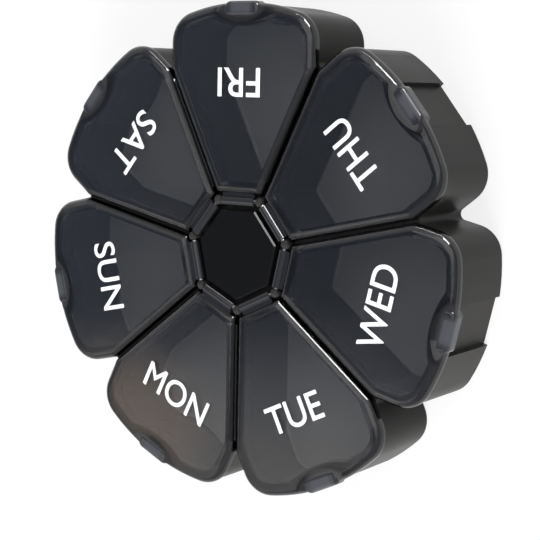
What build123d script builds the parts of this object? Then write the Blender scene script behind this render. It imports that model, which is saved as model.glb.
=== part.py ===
from build123d import *
from math import cos, radians, sin, sqrt, tan
import os

# Weekly pill organizer: seven petal-shaped cups round a hub, each under its own hinged lid.
# Millimetres. The tray's base lies on XY, +Z is up and the Friday petal points along +Y.

os.makedirs("parts", exist_ok=True)

# The days, in the order in which the petals follow each other anticlockwise from above
days = ["friday", "saturday", "sunday", "monday", "tuesday", "wednesday", "thursday"]
petal_turn = 360 / len(days)
half_turn = radians(petal_turn / 2)

# How near its place a corner or an edge is looked for
near = 0.01

# Plan of a petal's outer wall
petal_width = 42.8
petal_reach = 61.6
bow_radius = 54.0
petal_corner = 7.5
shoulder_radius = 2.5
valley_radius = 1.5
petal_overlap = 3.0
petal_root = 1.0

# Tray
tray_height = 21.6
floor_thickness = 1.8
wall = 1.5
divider = 2.8
base_rounding = 0.8
cup_inner_edge = 16.2
cup_corner = 2.2
cup_floor_rounding = 1.4
recess_width = 12.5
recess_depth = 1.6
recess_pad_radius = 20.0
recess_pad_corner = 1.5

# Lids
lid_overhang = 0.3
lid_gap = 0.6
lid_seam = 0.3
lid_edge_height = 2.5
lid_plate = 1.4
lid_rounding = 2.0
lid_inner_corner = 0.8
plug_clearance = 0.5
plug_wall = 1.0
plug_depth = 2.2
plug_corner = 1.6

# Thumb tab and the scoop round it
tab_width = 10.8
tab_length = 4.0
tab_overhang = 0.25
tab_drop = 1.2
tab_below_top = 0.25
tab_recess_gap = 0.4
tab_corner = 1.8
tab_rounding = 1.2
scoop_width = 18.0
scoop_length = 5.0
scoop_depth = 1.1

# Hinge
hinge_radius = 13.0
hinge_above_rim = 1.55
barrel_radius = 1.25
barrel_end_gap = 0.2
pin_radius = 0.6
pin_running_fit = 0.05
pin_socket_fit = 0.02
pin_engagement = 0.75
pin_end_chamfer = 0.15
web_thickness = 1.1
web_reach = 0.5
hinge_clearance = 0.35

# Hub
deck_depth = 1.3
hub_wall = 1.6
cap_gap = 1.03
cap_thickness = 1.8
cap_below_lids = 0.3
cap_overhang = 0.5
cap_bevel = 0.35
spigot_depth = 4.0
spigot_wall = 1.2
spigot_fit = 0.1
hub_skin = 1.6

# Heights that follow
lid_bottom = tray_height + lid_seam
lid_top = lid_bottom + lid_edge_height
plug_bottom = tray_height - plug_depth
hinge_height = tray_height + hinge_above_rim
deck_height = tray_height - deck_depth
cap_top = lid_top - cap_below_lids
cap_seat = cap_top - cap_thickness

# Plan sizes that follow
recess_floor = petal_reach - recess_depth
pocket_edge = hinge_radius + barrel_radius + hinge_clearance
lid_inner_edge = pocket_edge
cap_edge = hinge_radius - barrel_radius - cap_gap
column_edge = cap_edge - cap_overhang
well_edge = column_edge - hub_wall
pad_centre = recess_floor - wall + sqrt(recess_pad_radius**2 - (recess_width / 2) ** 2)
post_circle = hinge_radius / cos(half_turn)
post_face = hinge_radius * tan(half_turn) - barrel_radius
barrel_length = 2 * (post_face - barrel_end_gap)
pin_length = 2 * (post_face + pin_engagement)
barrel_place = Location((0, hinge_radius, hinge_height), (0, 90, 0))
web_length = lid_inner_edge + web_reach - hinge_radius
web_align = (Align.CENTER, Align.MIN, Align.CENTER)
under_align = (Align.CENTER, Align.MAX, Align.MAX)
tab_nose = petal_reach + lid_overhang + tab_overhang
notch_radius = petal_width / 2 / sin(half_turn)

# The scoop is part of a ball: its circle on the lid's top, and the ball's centre above it
scoop_circle = (scoop_length**2 + (scoop_width / 2) ** 2) / (2 * scoop_length)
scoop_centre = petal_reach + lid_overhang - scoop_length + scoop_circle
scoop_offset = scoop_circle - scoop_length
scoop_rise = (scoop_circle**2 - scoop_offset**2 - scoop_depth**2) / (2 * scoop_depth)
scoop_radius = sqrt(scoop_circle**2 + scoop_rise**2)


def petal_plan(grow, side, inner, inner_corner=0.0, pad_grow=None):
    """Plan of a petal along +Y. grow moves the free outline outwards, side is the distance of
    the straight sides from the neighbours' boundary, inner is the edge nearest the hub, and
    pad_grow leaves out the arch behind the finger recess, that much larger."""
    half_width = petal_width / 2 + grow
    reach = petal_reach + grow
    bow = bow_radius + grow
    side_shift = side / cos(half_turn)
    inner_half = inner * tan(half_turn) - side_shift
    shoulder = (half_width + side_shift) / tan(half_turn)
    corner = reach - bow + sqrt(bow**2 - half_width**2)
    shoulder_end = shoulder + shoulder_radius * tan(half_turn / 2)
    valley_end = (half_width + valley_radius) / tan(half_turn)
    side_start = max(shoulder_end, valley_end) + near
    room = bow**2 - half_width**2 - (side_start - reach + bow) ** 2
    rounding = min(petal_corner + grow, room / 2 / (bow - half_width))
    with BuildSketch() as plan:
        with BuildLine():
            Polyline(
                (half_width, corner),
                (half_width, shoulder),
                (inner_half, inner),
                (-inner_half, inner),
                (-half_width, shoulder),
                (-half_width, corner),
            )
            ThreePointArc((-half_width, corner), (0, reach), (half_width, corner))
        make_face()
        fillet(plan.vertices().group_by(Axis.Y)[-1], rounding)
        shoulders = plan.vertices().filter_by_position(Axis.Y, shoulder - near, shoulder + near)
        fillet(shoulders, shoulder_radius)
        if inner_corner:
            fillet(plan.vertices().group_by(Axis.Y)[0], inner_corner)
        if pad_grow is not None:
            pad_radius = recess_pad_radius + pad_grow
            with Locations((0, pad_centre)):
                Circle(pad_radius, mode=Mode.SUBTRACT)
            tips = plan.vertices().filter_by(lambda v: is_on_circle(v, pad_centre, pad_radius))
            fillet(tips, recess_pad_corner)
    return plan.sketch


def is_on_circle(vertex, centre_y, radius):
    """Whether a vertex lies on the circle of that radius round a point on the Y axis."""
    return abs(sqrt(vertex.X**2 + (vertex.Y - centre_y) ** 2) - radius) < near


def heptagon(edge_distance):
    """Heptagon whose flats face the petals."""
    with BuildSketch() as plan:
        RegularPolygon(edge_distance, len(days), major_radius=False, rotation=90 - petal_turn / 2)
    return plan.sketch


# Plans
tray_petal = petal_plan(0, -petal_overlap, petal_root)
cup_plan = petal_plan(-wall, divider / 2, cup_inner_edge, cup_corner, pad_grow=0)
lid_plan = petal_plan(lid_overhang, lid_gap / 2, lid_inner_edge, lid_inner_corner)
plug_inset = wall + plug_clearance
plug_side = divider / 2 + plug_clearance
plug_inner = cup_inner_edge + plug_clearance
plug_plan = petal_plan(-plug_inset, plug_side, plug_inner, plug_corner, pad_grow=plug_clearance)
hollow_plan = petal_plan(
    -plug_inset - plug_wall,
    plug_side + plug_wall,
    plug_inner + plug_wall,
    plug_corner,
    pad_grow=plug_clearance + plug_wall,
)

# Tray: cups, hub well, hinge posts and finger recesses in one moulding
with BuildPart() as tray:
    with BuildSketch() as footprint:
        with PolarLocations(0, len(days)):
            add(tray_petal)
        add(heptagon(cup_inner_edge))
        notches = footprint.vertices().filter_by(lambda v: is_on_circle(v, 0, notch_radius))
        fillet(notches, valley_radius)
    extrude(amount=tray_height)
    fillet(tray.faces().sort_by(Axis.Z)[0].edges(), base_rounding)
    with BuildSketch(Plane.XY.offset(floor_thickness)):
        with PolarLocations(0, len(days)):
            add(cup_plan)
    extrude(amount=tray_height - floor_thickness, mode=Mode.SUBTRACT)
    fillet(tray.edges().filter_by_position(Axis.Z, floor_thickness, floor_thickness), cup_floor_rounding)
    with BuildSketch():
        with PolarLocations(0, len(days)):
            with Locations((0, recess_floor)):
                Rectangle(recess_width, petal_corner, align=(Align.CENTER, Align.MIN))
    extrude(amount=tray_height, mode=Mode.SUBTRACT)
    with BuildSketch(Plane.XY.offset(deck_height)):
        add(heptagon(pocket_edge))
    extrude(amount=tray_height - deck_height, mode=Mode.SUBTRACT)
    with BuildSketch(Plane.XY.offset(deck_height)):
        add(heptagon(column_edge))
    extrude(amount=cap_seat - deck_height)
    with BuildSketch(Plane.XY.offset(floor_thickness)):
        add(heptagon(well_edge))
    extrude(amount=cap_seat - floor_thickness, mode=Mode.SUBTRACT)
    with BuildSketch():
        add(heptagon(cup_inner_edge - hub_skin))
        add(heptagon(well_edge + hub_skin), mode=Mode.SUBTRACT)
    extrude(amount=deck_height - hub_skin, mode=Mode.SUBTRACT)
    with BuildSketch(Plane.XY.offset(deck_height)):
        with PolarLocations(post_circle, len(days), start_angle=90 + petal_turn / 2):
            Circle(barrel_radius)
    extrude(amount=hinge_height - deck_height)
    with Locations((0, 0, hinge_height)):
        with PolarLocations(post_circle, len(days), start_angle=90 + petal_turn / 2):
            Sphere(barrel_radius)
    with PolarLocations(0, len(days)):
        with Locations(barrel_place):
            Cylinder(pin_radius + pin_socket_fit, pin_length + 2 * pin_socket_fit, mode=Mode.SUBTRACT)
tray.part.label = "tray"
export_step(tray.part, "parts/tray.step")

# Hub cap: a plate that covers the well and a spigot that plugs into it
with BuildPart() as hub_cap:
    with BuildSketch(Plane.XY.offset(cap_seat)):
        add(heptagon(cap_edge))
    extrude(amount=cap_thickness)
    chamfer(hub_cap.faces().sort_by(Axis.Z)[-1].edges(), cap_bevel)
    with BuildSketch(Plane.XY.offset(cap_seat - spigot_depth)):
        add(heptagon(well_edge - spigot_fit))
        add(heptagon(well_edge - spigot_fit - spigot_wall), mode=Mode.SUBTRACT)
    extrude(amount=spigot_depth)
hub_cap.part.label = "hub_cap"
export_step(hub_cap.part, "parts/hub_cap.step")

# Thumb tab: a pad in the lid's scoop, with a tongue that hangs into the finger recess
with BuildPart() as thumb_tab:
    with BuildSketch(Plane.XY.offset(lid_bottom - tab_drop)) as tab_plan:
        with Locations((0, tab_nose)):
            Rectangle(tab_width, tab_length, align=(Align.CENTER, Align.MAX))
        fillet(tab_plan.vertices().group_by(Axis.Y)[-1], tab_corner)
    extrude(amount=tab_drop + lid_edge_height - tab_below_top)
    fillet(thumb_tab.faces().sort_by(Axis.Z)[-1].edges(), tab_rounding)
    with Locations((0, recess_floor + tab_recess_gap, lid_bottom)):
        Box(tab_width, tab_length, tab_drop, align=under_align, mode=Mode.SUBTRACT)

# Lid, drawn along +Y: rounded top, plug rim, scoop, thumb tab and hinge barrel
with BuildPart() as lid:
    with BuildSketch(Plane.XY.offset(lid_bottom)):
        add(lid_plan)
    extrude(amount=lid_edge_height)
    fillet(lid.faces().sort_by(Axis.Z)[-1].edges().sort_by(Axis.Y)[1:], lid_rounding)
    with Locations((0, scoop_centre, lid_top + scoop_rise)):
        Sphere(scoop_radius, mode=Mode.SUBTRACT)
    with BuildSketch(Plane.XY.offset(plug_bottom)):
        add(plug_plan)
    extrude(amount=lid_bottom - plug_bottom)
    with BuildSketch(Plane.XY.offset(plug_bottom)):
        add(hollow_plan)
    extrude(amount=lid_top - lid_plate - plug_bottom, mode=Mode.SUBTRACT)
    add(thumb_tab.part)
    with Locations((0, hinge_radius, hinge_height)):
        Box(barrel_length, web_length, web_thickness, align=web_align)
    with Locations(barrel_place):
        Cylinder(barrel_radius, barrel_length)
        Cylinder(pin_radius + pin_running_fit, barrel_length, mode=Mode.SUBTRACT)

# Hinge pin, drawn in the Friday lid's barrel
with BuildPart() as pin:
    with Locations(barrel_place):
        Cylinder(pin_radius, pin_length)
    chamfer(pin.edges().filter_by(GeomType.CIRCLE), pin_end_chamfer)

# One lid and one pin for each day, turned to its petal
for index, day in enumerate(days):
    with BuildPart() as day_lid:
        add(lid.part.rotate(Axis.Z, index * petal_turn))
    day_lid.part.label = f"lid_{day}"
    export_step(day_lid.part, f"parts/lid_{day}.step")
    with BuildPart() as day_pin:
        add(pin.part.rotate(Axis.Z, index * petal_turn))
    day_pin.part.label = f"hinge_pin_{day}"
    export_step(day_pin.part, f"parts/hinge_pin_{day}.step")
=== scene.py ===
from math import cos, pi, radians, sin

import bpy
from mathutils import Matrix, Vector


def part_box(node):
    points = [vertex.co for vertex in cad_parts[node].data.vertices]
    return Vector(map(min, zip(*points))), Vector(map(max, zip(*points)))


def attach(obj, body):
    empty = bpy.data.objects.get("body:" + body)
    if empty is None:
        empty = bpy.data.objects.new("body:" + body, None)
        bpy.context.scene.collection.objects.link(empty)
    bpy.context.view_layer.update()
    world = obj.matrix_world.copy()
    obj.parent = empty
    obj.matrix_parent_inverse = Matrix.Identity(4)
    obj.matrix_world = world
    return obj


# Weekly pill organizer: looks for the moulded tray, the seven smoky lids with their printed
# day names, the glossy hub cap and the hinge pins. Metres, +Z up, Friday along +Y.

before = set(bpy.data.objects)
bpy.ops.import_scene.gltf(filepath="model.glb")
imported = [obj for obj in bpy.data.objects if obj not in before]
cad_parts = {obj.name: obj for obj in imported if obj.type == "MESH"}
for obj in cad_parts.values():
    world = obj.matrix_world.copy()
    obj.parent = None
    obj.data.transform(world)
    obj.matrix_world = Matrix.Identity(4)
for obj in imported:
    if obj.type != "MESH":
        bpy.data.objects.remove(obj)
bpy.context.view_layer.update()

MM = 0.001
DAYS = ["friday", "saturday", "sunday", "monday", "tuesday", "wednesday", "thursday"]
PETAL_TURN = 2 * pi / len(DAYS)
TAB_REACH = 61.8 * MM


def srgb(code):
    """Linear colour with alpha from an sRGB hex value such as 2b2e33."""
    channels = [int(code[i : i + 2], 16) / 255 for i in (0, 2, 4)]
    linear = [c / 12.92 if c <= 0.04045 else ((c + 0.055) / 1.055) ** 2.4 for c in channels]
    return (*linear, 1.0)


def add_node(tree, kind, inputs=None, **settings):
    """Adds a node with its settings and gives its outputs. An input takes a value, or the
    output that is linked to it."""
    node = tree.nodes.new(kind)
    for name, value in settings.items():
        setattr(node, name, value)
    for name, value in (inputs or {}).items():
        if isinstance(value, bpy.types.NodeSocket):
            tree.links.new(value, node.inputs[name])
        else:
            node.inputs[name].default_value = value
    return node.outputs


def new_material(name):
    """A new material, its node tree, and the Object coordinates that its patterns read."""
    material = bpy.data.materials.new(name)
    material.use_nodes = True
    tree = material.node_tree
    tree.nodes.clear()
    return material, tree, add_node(tree, "ShaderNodeTexCoord")["Object"]


def petal_place(tree, place):
    """Distance from the petal's middle line, distance from the hub's axis, and height."""
    xyz = add_node(tree, "ShaderNodeSeparateXYZ", {"Vector": place})
    angle = add_node(tree, "ShaderNodeMath", {0: xyz["X"], 1: xyz["Y"]}, operation="ARCTAN2")[0]
    local = add_node(
        tree,
        "ShaderNodeMath",
        {0: angle, 1: PETAL_TURN / 2, 2: -PETAL_TURN / 2},
        operation="WRAP",
    )[0]
    flat = add_node(tree, "ShaderNodeCombineXYZ", {"X": xyz["X"], "Y": xyz["Y"]})[0]
    far = add_node(tree, "ShaderNodeVectorMath", {0: flat}, operation="LENGTH")["Value"]
    along = add_node(tree, "ShaderNodeMath", {0: local, 1: far}, operation="MULTIPLY")[0]
    side = add_node(tree, "ShaderNodeMath", {0: along}, operation="ABSOLUTE")[0]
    return side, far, xyz["Z"]


def round_tab(tree, side, far, half_width, depth):
    """1 inside an ellipse round the thumb tab's outer edge, easing to 0 across its border."""
    across = add_node(tree, "ShaderNodeMath", {0: side, 1: half_width}, operation="DIVIDE")[0]
    inward = add_node(
        tree,
        "ShaderNodeMapRange",
        {
            "Value": far,
            "From Min": TAB_REACH - depth,
            "From Max": TAB_REACH,
            "To Min": 1.0,
            "To Max": 0.0,
        },
        clamp=False,
    )[0]
    squares = [
        add_node(tree, "ShaderNodeMath", {0: length, 1: length}, operation="MULTIPLY")[0]
        for length in (across, inward)
    ]
    total = add_node(tree, "ShaderNodeMath", {0: squares[0], 1: squares[1]}, operation="ADD")[0]
    return add_node(
        tree,
        "ShaderNodeMapRange",
        {"Value": total, "From Min": 0.75, "From Max": 1.15, "To Min": 1.0, "To Max": 0.0},
        interpolation_type="SMOOTHSTEP",
    )[0]


def smoky_polystyrene():
    """Smoke-tinted polystyrene, injection moulded against polished steel: wet gloss on a body
    that darkens with its thickness, so that the cup's walls and floor show through the plate.
    The thumb tabs are frosted against a spark-eroded mould, which makes them cloudy and their
    pads paler and matt. The dark tint reaches a little past the cloudy part."""
    material, tree, place = new_material("smoky_polystyrene_lid")
    side, far, height = petal_place(tree, place)
    facing = add_node(tree, "ShaderNodeNewGeometry")["Normal"]
    upward = add_node(tree, "ShaderNodeSeparateXYZ", {"Vector": facing})["Z"]
    level = add_node(tree, "ShaderNodeMath", {0: upward}, operation="ABSOLUTE")[0]

    # Regions: a measure, the two values that it eases between, and its strength at each
    regions = {
        "pad_across": (side, 1.8 * MM, 4.8 * MM, 1.0, 0.0),
        "pad_outward": (far, 58.2 * MM, 60.0 * MM, 0.0, 1.0),
        "tinted_barrel": (far, 16.2 * MM, 17.2 * MM, 1.0, 0.0),
        "cloudy_barrel": (far, 15.0 * MM, 16.0 * MM, 1.0, 0.0),
        "thick_rim": (height, 22.5 * MM, 22.95 * MM, 1.0, 0.0),
        "rounded_edge": (level, 0.70, 0.97, 1.0, 0.0),
    }
    masks = {
        name: add_node(
            tree,
            "ShaderNodeMapRange",
            {"Value": value, "From Min": start, "From Max": end, "To Min": first, "To Max": last},
            interpolation_type="SMOOTHSTEP",
        )[0]
        for name, (value, start, end, first, last) in regions.items()
    }
    pad = add_node(
        tree,
        "ShaderNodeMath",
        {0: masks["pad_across"], 1: masks["pad_outward"]},
        operation="MULTIPLY",
    )[0]
    tinted = round_tab(tree, side, far, half_width=9.0 * MM, depth=5.4 * MM)
    for name in ("tinted_barrel", "thick_rim", "rounded_edge"):
        tinted = add_node(
            tree, "ShaderNodeMath", {0: tinted, 1: masks[name]}, operation="MAXIMUM"
        )[0]
    cloudy_tab = round_tab(tree, side, far, half_width=7.2 * MM, depth=3.9 * MM)
    cloudy = add_node(
        tree,
        "ShaderNodeMath",
        {0: cloudy_tab, 1: masks["cloudy_barrel"]},
        operation="MAXIMUM",
    )[0]

    # Colour: nearly clear at the surface, smoky at the thick edges and grey on the pads
    tint = add_node(
        tree,
        "ShaderNodeMix",
        {"Factor": tinted, "A": srgb("fafbfd"), "B": srgb("1d1e21")},
        data_type="RGBA",
    )[2]
    colour = add_node(
        tree,
        "ShaderNodeMix",
        {"Factor": pad, "A": tint, "B": srgb("3e4045")},
        data_type="RGBA",
    )[2]

    # Gloss: fine scuffs about a millimetre apart, and matt pads
    scuff = add_node(
        tree,
        "ShaderNodeTexNoise",
        {"Vector": place, "Scale": 1 / (1.1 * MM), "Detail": 3.0},
    )["Fac"]
    gloss = add_node(
        tree,
        "ShaderNodeMapRange",
        {"Value": scuff, "From Min": 0.35, "From Max": 0.75, "To Min": 0.03, "To Max": 0.09},
    )[0]
    matt = add_node(tree, "ShaderNodeMath", {0: pad, 1: 0.4}, operation="MULTIPLY")[0]
    roughness = add_node(tree, "ShaderNodeMath", {0: gloss, 1: matt}, operation="MAXIMUM")[0]
    clarity = add_node(
        tree, "ShaderNodeMapRange", {"Value": cloudy, "To Min": 1.0, "To Max": 0.05}
    )[0]

    # Slow waves from the melt's flow
    flow = add_node(
        tree,
        "ShaderNodeTexNoise",
        {"Vector": place, "Scale": 1 / (18.0 * MM), "Detail": 2.0},
    )["Fac"]
    bump = add_node(
        tree,
        "ShaderNodeBump",
        {"Height": flow, "Strength": 0.12, "Distance": 0.4 * MM},
    )[0]
    plate = add_node(
        tree,
        "ShaderNodeBsdfPrincipled",
        {
            "Base Color": colour,
            "Roughness": roughness,
            "IOR": 1.57,
            "Transmission Weight": clarity,
            "Normal": bump,
        },
    )[0]
    smoke = add_node(
        tree, "ShaderNodeVolumeAbsorption", {"Color": srgb("3a3f48"), "Density": 55.0}
    )[0]
    add_node(tree, "ShaderNodeOutputMaterial", {"Surface": plate, "Volume": smoke})
    return material


def charcoal_abs():
    """Charcoal ABS, injection moulded: satin walls with a very fine grain and slightly uneven
    sheen, and cup floors painted paler, as painted light falling in from above."""
    material, tree, place = new_material("charcoal_abs_tray")
    sheen = add_node(
        tree,
        "ShaderNodeTexNoise",
        {"Vector": place, "Scale": 1 / (22.0 * MM), "Detail": 3.0},
    )["Fac"]
    shade = add_node(
        tree, "ShaderNodeMapRange", {"Value": sheen, "From Min": 0.3, "From Max": 0.7}
    )[0]
    walls = add_node(
        tree,
        "ShaderNodeMix",
        {"Factor": shade, "A": srgb("323231"), "B": srgb("373634")},
        data_type="RGBA",
    )[2]
    roughness = add_node(
        tree,
        "ShaderNodeMapRange",
        {"Value": sheen, "From Min": 0.3, "From Max": 0.7, "To Min": 0.30, "To Max": 0.42},
    )[0]

    # The cup floors are what faces upwards near the tray's base; painted light makes them paler, as
    # if lit from above
    height = add_node(tree, "ShaderNodeSeparateXYZ", {"Vector": place})["Z"]
    low_down = add_node(
        tree,
        "ShaderNodeMapRange",
        {"Value": height, "From Min": 2.0 * MM, "From Max": 3.2 * MM, "To Min": 1.0, "To Max": 0.0},
        interpolation_type="SMOOTHSTEP",
    )[0]
    facing = add_node(tree, "ShaderNodeNewGeometry")["Normal"]
    upward = add_node(tree, "ShaderNodeSeparateXYZ", {"Vector": facing})["Z"]
    facing_up = add_node(
        tree,
        "ShaderNodeMapRange",
        {"Value": upward, "From Min": 0.6, "From Max": 0.95},
        interpolation_type="SMOOTHSTEP",
    )[0]
    painted_floor_light = add_node(
        tree, "ShaderNodeMath", {0: low_down, 1: facing_up}, operation="MULTIPLY"
    )[0]
    # Painted light: the cup floors get a paler colour that stands in for light falling in from
    # above
    colour = add_node(
        tree,
        "ShaderNodeMix",
        {"Factor": painted_floor_light, "A": walls, "B": srgb("807f7b")},
        data_type="RGBA",
    )[2]
    grain = add_node(
        tree,
        "ShaderNodeTexNoise",
        {"Vector": place, "Scale": 1 / (0.35 * MM), "Detail": 2.0},
    )["Fac"]
    bump = add_node(
        tree,
        "ShaderNodeBump",
        {"Height": grain, "Strength": 0.09, "Distance": 0.02 * MM},
    )[0]
    plastic = add_node(
        tree,
        "ShaderNodeBsdfPrincipled",
        {
            "Base Color": colour,
            "Roughness": roughness,
            "IOR": 1.54,
            "Specular IOR Level": 0.06,
            "Normal": bump,
        },
    )[0]
    add_node(tree, "ShaderNodeOutputMaterial", {"Surface": plastic})
    return material


def polished_abs():
    """Black ABS moulded against polished steel: near black, with a sharp gloss and the finest
    of wipe marks."""
    material, tree, place = new_material("polished_abs_hub_cap")
    wipes = add_node(tree, "ShaderNodeMapping", {"Vector": place, "Scale": (1.0, 9.0, 1.0)})[0]
    marks = add_node(
        tree,
        "ShaderNodeTexNoise",
        {"Vector": wipes, "Scale": 1 / (6.0 * MM), "Detail": 4.0},
    )["Fac"]
    roughness = add_node(
        tree,
        "ShaderNodeMapRange",
        {"Value": marks, "From Min": 0.35, "From Max": 0.7, "To Min": 0.08, "To Max": 0.16},
    )[0]
    plastic = add_node(
        tree,
        "ShaderNodeBsdfPrincipled",
        {
            "Base Color": srgb("101011"),
            "Roughness": roughness,
            "IOR": 1.54,
            "Specular IOR Level": 0.15,
        },
    )[0]
    add_node(tree, "ShaderNodeOutputMaterial", {"Surface": plastic})
    return material


def drawn_steel():
    """Drawn steel wire: bright, with fine marks from the die."""
    material, tree, place = new_material("drawn_steel_pin")
    marks = add_node(
        tree,
        "ShaderNodeTexNoise",
        {"Vector": place, "Scale": 1 / (0.25 * MM), "Detail": 3.0},
    )["Fac"]
    roughness = add_node(
        tree,
        "ShaderNodeMapRange",
        {"Value": marks, "From Min": 0.3, "From Max": 0.7, "To Min": 0.24, "To Max": 0.4},
    )[0]
    steel = add_node(
        tree,
        "ShaderNodeBsdfPrincipled",
        {"Base Color": srgb("b9bbbd"), "Metallic": 1.0, "Roughness": roughness},
    )[0]
    add_node(tree, "ShaderNodeOutputMaterial", {"Surface": steel})
    return material


def pad_printed_ink():
    """White pad-printed ink: a thin, slightly uneven film with a soft sheen."""
    material, tree, place = new_material("pad_printed_white_ink")
    film = add_node(
        tree,
        "ShaderNodeTexNoise",
        {"Vector": place, "Scale": 1 / (0.5 * MM), "Detail": 3.0},
    )["Fac"]
    cover = add_node(
        tree, "ShaderNodeMapRange", {"Value": film, "From Min": 0.3, "From Max": 0.7}
    )[0]
    colour = add_node(
        tree,
        "ShaderNodeMix",
        {"Factor": cover, "A": srgb("e9ecef"), "B": srgb("f6f7f8")},
        data_type="RGBA",
    )[2]
    roughness = add_node(
        tree,
        "ShaderNodeMapRange",
        {"Value": film, "From Min": 0.3, "From Max": 0.7, "To Min": 0.42, "To Max": 0.55},
    )[0]
    bump = add_node(
        tree,
        "ShaderNodeBump",
        {"Height": film, "Strength": 0.15, "Distance": 0.02 * MM},
    )[0]
    ink = add_node(
        tree,
        "ShaderNodeBsdfPrincipled",
        {"Base Color": colour, "Roughness": roughness, "IOR": 1.5, "Normal": bump},
    )[0]
    add_node(tree, "ShaderNodeOutputMaterial", {"Surface": ink})
    return material


def dress(piece, material):
    """Gives a piece one material in its only slot."""
    piece.data.materials.clear()
    piece.data.materials.append(material)
    for polygon in piece.data.polygons:
        polygon.material_index = 0


# Finishes of the moulded pieces and the pins
lid_finish = smoky_polystyrene()
pin_finish = drawn_steel()
dress(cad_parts["tray"], charcoal_abs())
dress(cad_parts["hub_cap"], polished_abs())
for day in DAYS:
    dress(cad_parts[f"lid_{day}"], lid_finish)
    dress(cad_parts[f"hinge_pin_{day}"], pin_finish)

# Day names, printed on the lids with their tops towards the hub
CAP_HEIGHT = 7.1 * MM
NAME_RADIUS = 42.3 * MM
NAME_WIDTHS = {
    "friday": 12.7 * MM,
    "saturday": 17.0 * MM,
    "sunday": 17.9 * MM,
    "monday": 21.1 * MM,
    "tuesday": 16.9 * MM,
    "wednesday": 20.8 * MM,
    "thursday": 17.4 * MM,
}
INK_THICKNESS = 0.05 * MM
INK_LIFT = 0.005 * MM
LID_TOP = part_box("lid_friday")[1].z

# The letters' curve steps, stroke depth and added stroke weight, before they are scaled
CURVE_STEPS = 6
STROKE_DEPTH = 0.5
STROKE_WEIGHT = 0.008


def print_name(day, turn, ink):
    """The day's three letters as a thin film of ink on its lid."""
    bpy.ops.object.select_all(action="DESELECT")
    bpy.ops.object.text_add(location=(0, 0, 0))
    name = bpy.context.active_object
    name.name = f"day_name_{day}"
    name.data.body = day[:3].upper()
    name.data.align_x = "CENTER"
    name.data.align_y = "CENTER"
    name.data.resolution_u = CURVE_STEPS
    name.data.extrude = STROKE_DEPTH
    name.data.bevel_depth = STROKE_WEIGHT
    name.data.bevel_resolution = 0
    bpy.ops.object.convert(target="MESH")
    corners = [Vector(v.co) for v in name.data.vertices]
    low = Vector([min(c[i] for c in corners) for i in range(3)])
    high = Vector([max(c[i] for c in corners) for i in range(3)])
    wide = NAME_WIDTHS[day] / (high.x - low.x)
    tall = CAP_HEIGHT / (high.y - low.y)
    thin = INK_THICKNESS / (high.z - low.z)
    middle = (low + high) / 2
    centre = Matrix.Translation((-middle.x, -middle.y, -low.z))
    size = Matrix.Diagonal((wide, tall, thin, 1))
    flip = Matrix.Rotation(pi, 4, "Z")
    move = Matrix.Translation((0, NAME_RADIUS, LID_TOP + INK_LIFT))
    name.data.transform(Matrix.Rotation(turn, 4, "Z") @ move @ flip @ size @ centre)
    dress(name, ink)
    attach(name, f"{day}_lid")


white_ink = pad_printed_ink()
for index, day in enumerate(DAYS):
    print_name(day, index * PETAL_TURN, white_ink)

# Floor: it keeps the organizer's shadow close by, and is plain white further off
FLOOR_SIZE = 40.0
SHADOW_REACH = 0.15
PLAIN_WHITE_FROM = 1.0
WHITE_SHARE_NEARBY = 0.8

bpy.ops.object.select_all(action="DESELECT")
bpy.ops.mesh.primitive_plane_add(size=FLOOR_SIZE, location=(0, 0, 0))
floor = bpy.context.active_object
floor.name = "studio_floor"
floor_paint, tree, place = new_material("matt_white_sweep")
rays = add_node(tree, "ShaderNodeLightPath")
looking = rays["Is Camera Ray"]
for kind in ("Is Transmission Ray", "Is Glossy Ray"):
    looking = add_node(
        tree, "ShaderNodeMath", {0: looking, 1: rays[kind]}, operation="MAXIMUM"
    )[0]
# Pale where it is looked at, and grey only in the light that it throws back
card = add_node(
    tree,
    "ShaderNodeMix",
    {"Factor": looking, "A": srgb("a0a0a0"), "B": srgb("f8f8f8")},
    data_type="RGBA",
)[2]
matt = add_node(tree, "ShaderNodeBsdfDiffuse", {"Color": card, "Roughness": 0.6})[0]
glow = add_node(tree, "ShaderNodeEmission", {"Color": srgb("ffffff"), "Strength": 1.0})[0]
far_off = add_node(tree, "ShaderNodeVectorMath", {0: place}, operation="LENGTH")["Value"]
white_share = add_node(
    tree,
    "ShaderNodeMapRange",
    {
        "Value": far_off,
        "From Min": SHADOW_REACH,
        "From Max": PLAIN_WHITE_FROM,
        "To Min": WHITE_SHARE_NEARBY,
        "To Max": 1.0,
    },
    interpolation_type="SMOOTHSTEP",
)[0]
glowing = add_node(
    tree, "ShaderNodeMath", {0: looking, 1: white_share}, operation="MULTIPLY"
)[0]
sweep = add_node(tree, "ShaderNodeMixShader", {0: glowing, 1: matt, 2: glow})[0]
add_node(tree, "ShaderNodeOutputMaterial", {"Surface": sweep})
dress(floor, floor_paint)

# Room: even and pale, with a dimmer and cooler part overhead and warm parts at the left
ROOM_COLOUR = srgb("f4f4f8")
ROOM_STRENGTH = 0.51
OVERHEAD = (-0.50, -0.13, 0.855)
FRONT_LEFT = (-0.50, -0.48, 0.72)
LEFT = (-0.625, -0.230, 0.746)

# Each part's direction, and the degrees from it at which the part starts and is full
ROOM_PARTS = {
    "dim": (OVERHEAD, 16, 4),
    "cool": (OVERHEAD, 30, 14),
    "warm": (FRONT_LEFT, 21, 12),
    "patch": (LEFT, 4.2, 0.8),
}
PART_COLOURS = {"cool": srgb("d2def7"), "warm": srgb("f8f5f4"), "patch": srgb("fbe9dd")}
ADDED_STRENGTHS = {"dim": -0.21, "warm": 0.75, "patch": 0.5}

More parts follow.
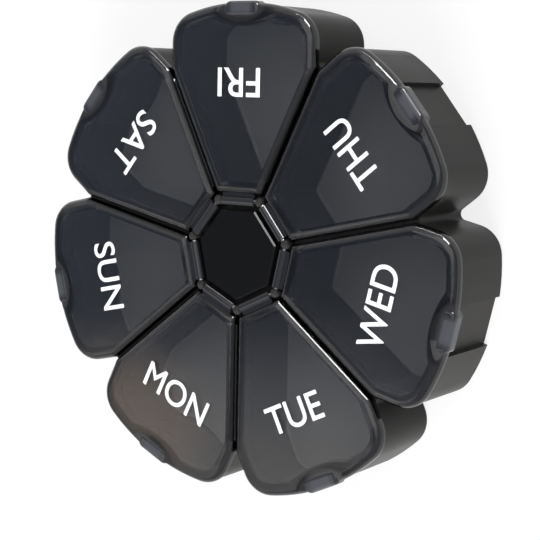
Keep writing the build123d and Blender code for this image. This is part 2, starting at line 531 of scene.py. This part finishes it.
world = bpy.data.worlds.new("studio")
bpy.context.scene.world = world
world.use_nodes = True
tree = world.node_tree
tree.nodes.clear()
direction = add_node(tree, "ShaderNodeTexCoord")["Generated"]
shares = {}
for name, (way, start, full) in ROOM_PARTS.items():
    facing = add_node(
        tree,
        "ShaderNodeVectorMath",
        {0: direction, 1: Vector(way).normalized()},
        operation="DOT_PRODUCT",
    )["Value"]
    shares[name] = add_node(
        tree,
        "ShaderNodeMapRange",
        {"Value": facing, "From Min": cos(radians(start)), "From Max": cos(radians(full))},
        interpolation_type="SMOOTHSTEP",
    )[0]
colour = ROOM_COLOUR
for name, part_colour in PART_COLOURS.items():
    colour = add_node(
        tree,
        "ShaderNodeMix",
        {"Factor": shares[name], "A": colour, "B": part_colour},
        data_type="RGBA",
    )[2]
strength = ROOM_STRENGTH
for name, added in ADDED_STRENGTHS.items():
    strength = add_node(
        tree,
        "ShaderNodeMath",
        {0: shares[name], 1: added, 2: strength},
        operation="MULTIPLY_ADD",
    )[0]
room = add_node(tree, "ShaderNodeBackground", {"Color": colour, "Strength": strength})[0]

# Backdrop: white to the camera, and low down also to gloss and through the lids
white = add_node(tree, "ShaderNodeBackground", {"Color": srgb("ffffff"), "Strength": 1.0})[0]
upward = add_node(tree, "ShaderNodeSeparateXYZ", {"Vector": direction})["Z"]
low_down = add_node(
    tree,
    "ShaderNodeMapRange",
    {"Value": upward, "From Min": 0.12, "From Max": 0.32, "To Min": 1.0, "To Max": 0.0},
    interpolation_type="SMOOTHSTEP",
)[0]
rays = add_node(tree, "ShaderNodeLightPath")
indirect = add_node(
    tree,
    "ShaderNodeMath",
    {0: rays["Is Glossy Ray"], 1: rays["Is Transmission Ray"]},
    operation="MAXIMUM",
)[0]
low_indirect = add_node(
    tree, "ShaderNodeMath", {0: indirect, 1: low_down}, operation="MULTIPLY"
)[0]
looking = add_node(
    tree, "ShaderNodeMath", {0: rays["Is Camera Ray"], 1: low_indirect}, operation="MAXIMUM"
)[0]
seen = add_node(tree, "ShaderNodeMixShader", {0: looking, 1: room, 2: white})[0]
add_node(tree, "ShaderNodeOutputWorld", {"Surface": seen})

# Soft boxes
LAMP_AIM = Vector((0, 0, 12 * MM))


def soft_box(name, place, width, height, power, mirrored=True, lights=True):
    """A rectangular lamp at a place in metres that faces the organizer. One that isn't
    mirrored doesn't show in the gloss or through the lids, and one that doesn't light shows
    only there."""
    lamp = bpy.data.lights.new(name, "AREA")
    lamp.shape = "RECTANGLE"
    lamp.size = width
    lamp.size_y = height
    lamp.energy = power
    box = bpy.data.objects.new(name, lamp)
    bpy.context.scene.collection.objects.link(box)
    way = (Vector(place) - LAMP_AIM).normalized()
    box.matrix_world = Matrix.Translation(place) @ way.to_track_quat("Z", "Y").to_matrix().to_4x4()
    box.visible_camera = False
    box.visible_glossy = mirrored
    box.visible_transmission = mirrored
    box.visible_diffuse = lights


soft_box("top_box", (0.20, 0.35, 0.92), width=1.1, height=1.1, power=3.3)
soft_box("side_box", (0.23, -0.92, 0.40), width=0.6, height=0.85, power=19.0, mirrored=False)
soft_box("back_strip", (0.05, 0.96, 0.26), width=0.5, height=0.06, power=1.8)
soft_box("rim_card", (0.36, 0.82, 0.46), width=0.4, height=0.3, power=8.0, lights=False)
soft_box("back_fill", (-0.75, 0.60, 0.32), width=0.6, height=0.6, power=2.8, mirrored=False)

# Camera at the photograph's viewing angle, with its angles in radians
AZIMUTH = 1.7944
ELEVATION = 0.9640
ROLL = -1.7359
DISTANCE = 380.2 * MM
AIM = Vector((2.0, -5.21, 12.0)) * MM
SENSOR_WIDTH = 36
FOCAL_PIXELS = 1485.9
PHOTO_WIDTH = 540

back = Vector((sin(AZIMUTH) * cos(ELEVATION), -cos(AZIMUTH) * cos(ELEVATION), sin(ELEVATION)))
level = Vector((cos(AZIMUTH), sin(AZIMUTH), 0))
upright = back.cross(level)
across = cos(ROLL) * level + sin(ROLL) * upright
above = -sin(ROLL) * level + cos(ROLL) * upright
lens = bpy.data.cameras.new("camera")
lens.lens = FOCAL_PIXELS / PHOTO_WIDTH * SENSOR_WIDTH
lens.sensor_width = SENSOR_WIDTH
lens.clip_start = 10 * MM
camera = bpy.data.objects.new("camera", lens)
bpy.context.scene.collection.objects.link(camera)
turned = Matrix((across, above, back)).transposed().to_4x4()
camera.matrix_world = Matrix.Translation(AIM + back * DISTANCE) @ turned
bpy.context.scene.camera = camera
bpy.context.scene.view_settings.view_transform = "Standard"
